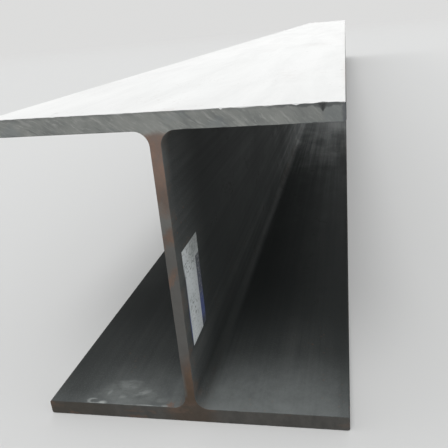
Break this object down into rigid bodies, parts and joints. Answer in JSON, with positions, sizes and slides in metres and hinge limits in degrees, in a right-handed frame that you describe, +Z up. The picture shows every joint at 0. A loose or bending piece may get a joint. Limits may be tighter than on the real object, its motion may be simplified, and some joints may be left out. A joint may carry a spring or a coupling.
{
  "type": "steel h-beam",
  "caption": "Wide-flange rolled steel beam with two broad parallel flanges joined by a central web, sawn square at both ends, with a plain paper tag on the web.",
  "frame": {"origin": "centre of the underside of the lower flange, at half the beam's length", "axes": "+Z up, at right angles to the flanges; +Y along the beam, away from the end with the tag; +X across the flanges, towards the side of the web that carries the tag"},
  "size_m": [0.3, 4.5, 0.3],
  "materials": {
    "mill_scale_steel": "dark blue-grey mill scale with light surface rust, bare saw-cut ends",
    "label_paper": "matt coated paper with a plain blue band"
  },
  "bodies": {
    "root": {"h_beam": "mill_scale_steel", "paper_label": "label_paper"}
  },
  "joints": []
}
